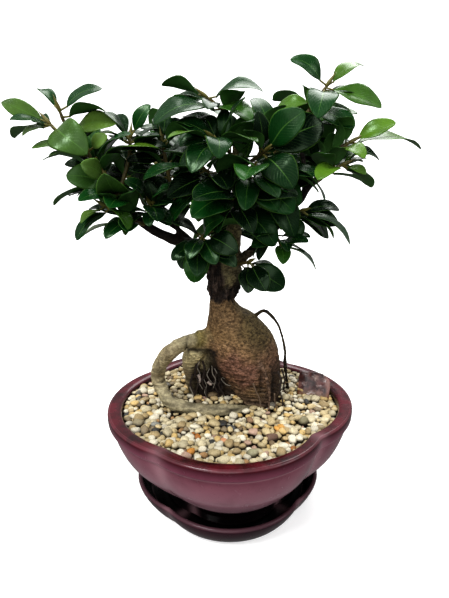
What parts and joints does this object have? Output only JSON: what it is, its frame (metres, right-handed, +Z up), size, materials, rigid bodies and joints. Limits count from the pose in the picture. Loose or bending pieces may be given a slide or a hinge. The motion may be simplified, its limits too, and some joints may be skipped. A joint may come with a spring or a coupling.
{
  "type": "potted ginseng ficus",
  "caption": "Ginseng ficus with a swollen trunk, looped root and glossy leaves, growing in gravel in a lobed glazed bowl on a matching saucer.",
  "frame": {"origin": "on the surface that the saucer stands on, below the middle of the pot", "axes": "+Z up, the front of the plant faces -Y, +X to the right"},
  "size_m": [0.2623, 0.1829, 0.3053],
  "materials": {
    "saucer_glaze": "dark oxblood gloss glaze",
    "pot_glaze": "oxblood and mauve gloss glaze",
    "soil": "loose dark potting earth",
    "pebbles": "small rounded mixed pebbles",
    "purple_stone": "translucent purple-brown stone",
    "bark": "matt brown-olive bark with fine cross wrinkles",
    "leaves": "glossy living leaf, paler underneath"
  },
  "bodies": {
    "root": {"saucer": "saucer_glaze", "pot": "pot_glaze", "soil": "soil", "gravel": "pebbles", "stone_slab": "purple_stone", "trunk_and_roots": "bark", "spray_outer_left": "leaves", "spray_left_top": "leaves", "spray_left_mid": "leaves", "spray_left_front": "leaves", "spray_left_low": "leaves", "spray_left_inner": "leaves", "spray_mid_left": "leaves", "spray_top_left": "leaves", "spray_mid_front": "leaves", "spray_front_left": "leaves", "spray_front_low": "leaves", "spray_low_left": "leaves", "spray_right_mid": "leaves", "spray_front_right": "leaves", "spray_right_inner": "leaves", "spray_top_right": "leaves", "spray_right_tip": "leaves", "spray_right_low": "leaves", "spray_lower_right": "leaves", "spray_lower_mid": "leaves", "spray_lowest_right": "leaves", "spray_twin_front": "leaves", "spray_twin_left": "leaves", "spray_rear_far_left": "leaves", "spray_rear_left_end": "leaves", "spray_rear_left_side": "leaves", "spray_rear_left_top": "leaves", "spray_rear_right_end": "leaves", "spray_rear_right_side": "leaves", "spray_rear_right_top": "leaves", "spray_rear_top": "leaves", "spray_rear_low": "leaves", "spray_rear_far_right": "leaves", "spray_rear_top_right": "leaves"}
  },
  "joints": []
}
